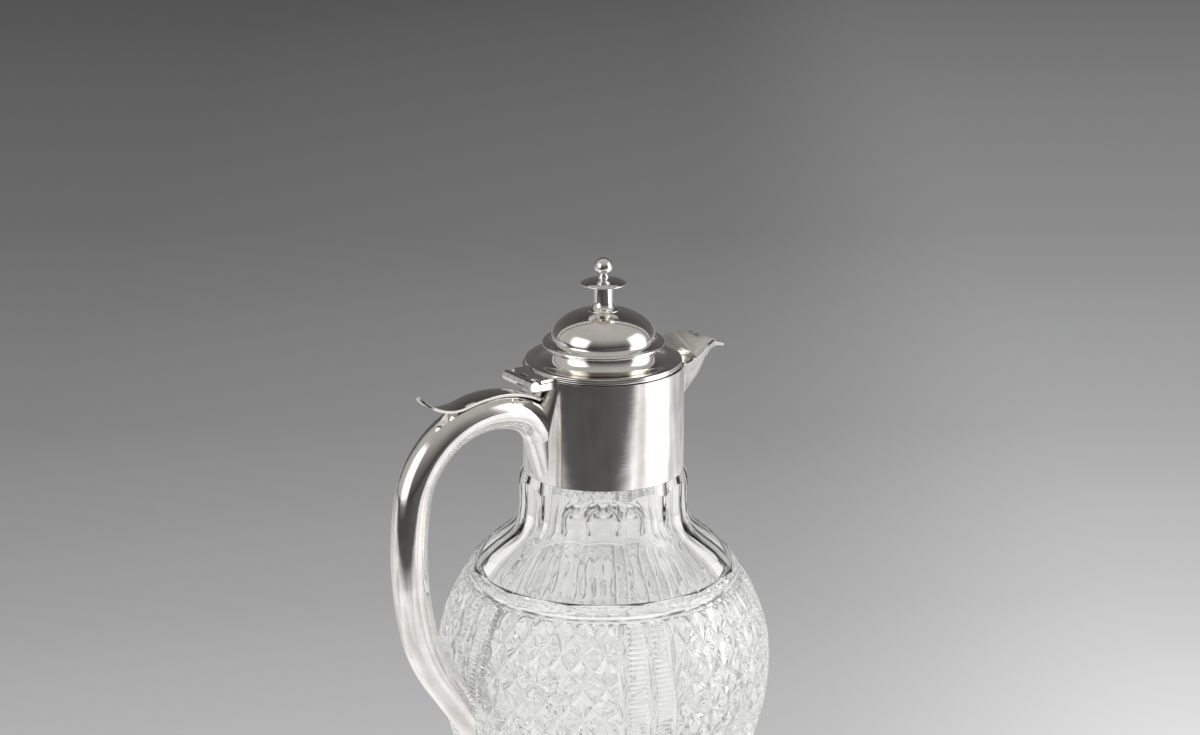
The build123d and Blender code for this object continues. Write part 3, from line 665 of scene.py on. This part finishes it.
def handle_tube():
    """The handle: a ring of points carried along the centre line, trimmed to the collar and the glass."""
    bm = bmesh.new()
    before = None
    for x, z, heading in handle_line():
        ring = bmesh.ops.create_circle(bm, cap_ends=False, segments=48, radius=TUBE_RADIUS * MM)["verts"]
        across = Matrix.Rotation(radians(90 - heading), 4, "Y")
        bmesh.ops.transform(bm, matrix=Matrix.Translation((x * MM, 0, z * MM)) @ across, verts=ring)
        edges = list({e for v in ring for e in v.link_edges if e.other_vert(v) in ring})
        if before:
            bmesh.ops.bridge_loops(bm, edges=before + edges)
        before = edges
    # What would stand inside the collar lies in its wall, and the other end slides back out of the glass
    in_wall = 29.6  # mm from the axis
    clear = 0.1
    by_collar, by_glass = 120, 75  # heights above and below which the tube can meet them
    way = Vector((cos(radians(305)), 0, sin(radians(305))))
    for vertex in bm.verts:
        c = vertex.co / MM
        if c.z > by_collar and hypot(c.x, c.y) < in_wall:
            vertex.co.xy = c.xy.normalized() * in_wall * MM
        elif c.z < by_glass and hypot(c.x, c.y) < skin(c.z)[0] + clear:
            for _ in range(400):
                if hypot(c.x, c.y) >= skin(c.z)[0] + clear:
                    break
                c = c - way * 0.1
            vertex.co = c * MM
    return bm


made("handle_tube", handle_tube(), silver, "jug", ["handle_near_half", "handle_far_half"], crease=60)


# ---------------------------------------------------------------- thumb rest
def thumb_leaf():
    """The thumb rest: a leaf-shaped plate bent along the crown of the handle, its point curled up."""
    bm = bmesh.new()
    bmesh.ops.create_grid(bm, x_segments=60, y_segments=14, size=1)
    reach = CROWN_RADIUS + TUBE_RADIUS + 1.1
    length, half_width, hollow = 53.3, 4.8, 16.0
    curl_radius, curl_heading = 17.0, radians(197)
    run = 46.0 * reach * pi / 180  # mm that follow the crown
    widest = 0.45  # share of the length
    for vertex in bm.verts:
        along, across = (vertex.co.x + 1) / 2, vertex.co.y
        way = along * length
        if way < run:
            angle = radians(61 + degrees(way / reach))
            x, z = CROWN_MIDDLE[0] + reach * cos(angle), CROWN_MIDDLE[1] + reach * sin(angle)
            out = Vector((cos(angle), 0, sin(angle)))
        else:
            turn = (way - run) / curl_radius
            start = radians(107)
            x0, z0 = CROWN_MIDDLE[0] + reach * cos(start), CROWN_MIDDLE[1] + reach * sin(start)
            x = x0 + curl_radius * (sin(curl_heading) - sin(curl_heading - turn))
            z = z0 + curl_radius * (cos(curl_heading - turn) - cos(curl_heading))
            bend = curl_heading - turn - pi / 2
            out = Vector((cos(bend), 0, sin(bend)))
        if along < widest:
            width = half_width * (0.78 + 0.22 * along / widest)
        else:
            width = half_width * sqrt(max(0, 1 - ((along - widest) / 0.555) ** 2.4))
        y = across * width
        drop = hollow - sqrt(hollow**2 - y * y)
        place = Vector((x, y, z)) - out * drop
        vertex.co = place * MM
    return bm


leaf = made("thumb_rest_leaf", thumb_leaf(), silver, "jug", ["thumb_rest"], crease=60)
thicken(leaf, 1.1, -1.0, 0.25)

# ---------------------------------------------------------------- floor
bm = bmesh.new()
bmesh.ops.create_grid(bm, x_segments=1, y_segments=1, size=6.0)
mesh = bpy.data.meshes.new("floor")
bm.to_mesh(mesh)
bm.free()
floor_piece = bpy.data.objects.new("floor", mesh)
scene.collection.objects.link(floor_piece)

turn, rise = radians(-34.5), radians(17.2)  # the camera's, round the jug and above it
towards = Vector((sin(turn) * cos(rise), -cos(turn) * cos(rise), sin(rise)))
rightwards = Vector((cos(turn), sin(turn), 0))
level = Vector((sin(turn), -cos(turn), 0))

paper = bpy.data.materials.new("grey_paper_sweep_painted_light")
paper.use_nodes = True
tree = paper.node_tree
tree.nodes.clear()
spot = node(tree, "ShaderNodeTexCoord").outputs["Object"]
back = amount_along(tree, spot, -level)
side = amount_along(tree, spot, rightwards)
far = ranged(tree, back, 0.05, 1.65, 0.0, 1.0)
# Painted light on the paper: its grey is painted lighter near the jug and darker far off; base paints its
# left side darker and the added light paints its right side brighter; tone carries this painted shading
painted_falloff_greys = [(0.0, "BEBDBD"), (0.1, "A8A8A8"), (0.25, "8F8F90"), (0.5, "767677"), (1.0, "5C5C5D")]
shade = ramp(tree, far, [(place, linear(grey)) for place, grey in painted_falloff_greys])
base = ranged(tree, side, -0.3, 0.05, 0.82, 0.99)
painted_right_light = ranged(tree, side, 0.05, 0.25, 0.0, 0.45, "SMOOTHSTEP")
tone = scaled(tree, shade, maths(tree, "ADD", base, painted_right_light))
# In the silver the paper shows a painted reflection of light: painted brighter round the jug, patchy, and
# painted dark in front of it, standing in for a dark room there;
# in the crystal it is painted bright and nearly even, standing in for light from all sides
rays = node(tree, "ShaderNodeLightPath")
slant = maths(tree, "MULTIPLY_ADD", side, 0.25, back)
edge = ranged(tree, slant, -0.36, -0.25, 0.06, 1.9)
cloudy = ranged(tree, noise(tree, spot, 9.0, 2.0), 0.35, 0.65, 0.75, 1.3)
bright = maths(tree, "MULTIPLY", maths(tree, "MULTIPLY", edge, cloudy), base)
painted_light_in_silver = scaled(tree, shade, bright)
evened = {0: tone, 1: (0.5, 0.5, 0.5), 2: (0.62, 0.615, 0.61)}
painted_light_in_crystal = node(tree, "ShaderNodeVectorMath", evened, operation="MULTIPLY_ADD").outputs[0]
seen = mix(tree, rays.outputs["Is Glossy Ray"], tone, painted_light_in_silver)
seen = mix(tree, rays.outputs["Is Transmission Ray"], seen, painted_light_in_crystal)
# Painted glow: to camera, glossy and transmission rays the paper mostly glows with its painted light; the
# rest is diffuse, which keeps the jug's shadow
painted_glow = node(tree, "ShaderNodeEmission", {"Color": seen, "Strength": 1.0})
matt = node(tree, "ShaderNodeBsdfDiffuse", {"Color": tone})
direct = maths(tree, "MAXIMUM", rays.outputs["Is Camera Ray"], rays.outputs["Is Glossy Ray"])
direct = maths(tree, "MAXIMUM", direct, rays.outputs["Is Transmission Ray"])
share = maths(tree, "MULTIPLY", direct, 0.88)
both = node(tree, "ShaderNodeMixShader", {0: share, 1: matt.outputs[0], 2: painted_glow.outputs[0]})
node(tree, "ShaderNodeOutputMaterial", {"Surface": both.outputs[0]})
mesh.materials.append(paper)


# ---------------------------------------------------------------- light
def softbox(name, place, aim, width, height, brightness, mirrored=True):
    """A soft light panel that fades towards its edges; brightness is how white its middle looks."""
    light = bpy.data.lights.new(name, "AREA")
    light.shape = "RECTANGLE"
    light.size, light.size_y = width, height
    light.energy = brightness * pi * width * height
    light.use_nodes = True
    tree = light.node_tree
    spot = node(tree, "ShaderNodeNewGeometry").outputs["Parametric"]
    fade = 1.0
    for along in node(tree, "ShaderNodeSeparateXYZ", {0: spot}).outputs[:2]:
        off = maths(tree, "ABSOLUTE", maths(tree, "SUBTRACT", along, 0.5))
        fade = maths(tree, "MULTIPLY", ranged(tree, off, 0.18, 0.5, 1.0, 0.0, "SMOOTHSTEP"), fade)
    tree.links.new(fade, tree.nodes["Emission"].inputs["Strength"])
    panel = bpy.data.objects.new(name, light)
    panel.location = place
    panel.rotation_mode = "QUATERNION"
    panel.rotation_quaternion = (Vector(aim) - Vector(place)).to_track_quat("-Z", "Y")
    panel.visible_camera = False
    panel.visible_glossy = mirrored
    scene.collection.objects.link(panel)
    return panel


def beside(turn, distance, height):
    """A place round the jug; the turn is counted in degrees from the camera, to its right."""
    a = radians(turn)
    return (level * cos(a) + rightwards * sin(a)) * distance + Vector((0, 0, height))


softbox("right_box", beside(82, 0.36, 0.25), beside(82, 0, 0.25), 0.36, 0.6, 2.0)
softbox("left_box", beside(-55, 0.5, 0.34), beside(-55, 0, 0.2), 0.5, 0.6, 1.8)
softbox("top_box", Vector((0, 0, 1.1)) - level * 0.1, (0, 0, 0), 1.2, 1.1, 1.2, mirrored=False)

world = bpy.data.worlds.new("studio")
scene.world = world
world.use_nodes = True
tree = world.node_tree
tree.nodes.clear()
rays = node(tree, "ShaderNodeLightPath")
look = node(tree, "ShaderNodeTexCoord").outputs["Generated"]
height = node(tree, "ShaderNodeSeparateXYZ", {0: look}).outputs["Z"]
behind = amount_along(tree, look, -level)
near = amount_along(tree, look, level)
# The silver sees a grey paper sweep behind the jug, then a light tent over it with a dark gap
# where the camera stands; a bright and a dark line mark the tent's edge
sweep = ramp(tree, height, [(0.0, linear("6A6866")), (0.8, linear("454443"))])
gap = ramp(tree, height, [(0.0, linear("3C3B3A")), (0.35, linear("7A7876")), (0.75, linear("AAA8A5"))])
into_gap = ranged(tree, near, 0.15, 0.75, 0.0, 1.0, "SMOOTHSTEP")
tent = mix(tree, into_gap, linear("B4B2AF"), gap)
bare = mix(tree, ranged(tree, behind, 0.5, 0.51, 0.0, 1.0), tent, sweep)
shares = [(0.0, 0.0), (0.41, 0.7), (0.465, 0.0), (0.475, 0.8), (0.53, 0.0)]
seam = ramp(tree, behind, [(place, (share, share, share, 1)) for place, share in shares], "CONSTANT")
ink = mix(tree, maths(tree, "GREATER_THAN", behind, 0.47), linear("3A3938"), linear("F0EEEA"))
metal_sees = mix(tree, seam, bare, ink)
matt_sees = mix(tree, rays.outputs["Is Glossy Ray"], linear("F0F0F0"), metal_sees)
glass_sees = mix(tree, rays.outputs["Is Transmission Ray"], matt_sees, linear("FCFBFA"))
camera_sees = mix(tree, rays.outputs["Is Camera Ray"], glass_sees, linear("5C5C5D"))
sky = node(tree, "ShaderNodeBackground", {"Color": camera_sees, "Strength": 1.0})
node(tree, "ShaderNodeOutputWorld", {"Surface": sky.outputs[0]})

# ---------------------------------------------------------------- camera
view = bpy.data.cameras.new("camera")
view.sensor_width = 36
view.lens = 97.05
away = 1.2  # metres from the camera to where it aims
camera = bpy.data.objects.new("camera", view)
aim = Vector((0, 0, 171.3 * MM)) - rightwards * 1.27 * MM
camera.location = aim + towards * away
camera.rotation_mode = "QUATERNION"
camera.rotation_quaternion = (-towards).to_track_quat("-Z", "Y")
view.clip_start, view.clip_end = 0.05, 30
scene.collection.objects.link(camera)
scene.camera = camera
scene.view_settings.view_transform = "Standard"
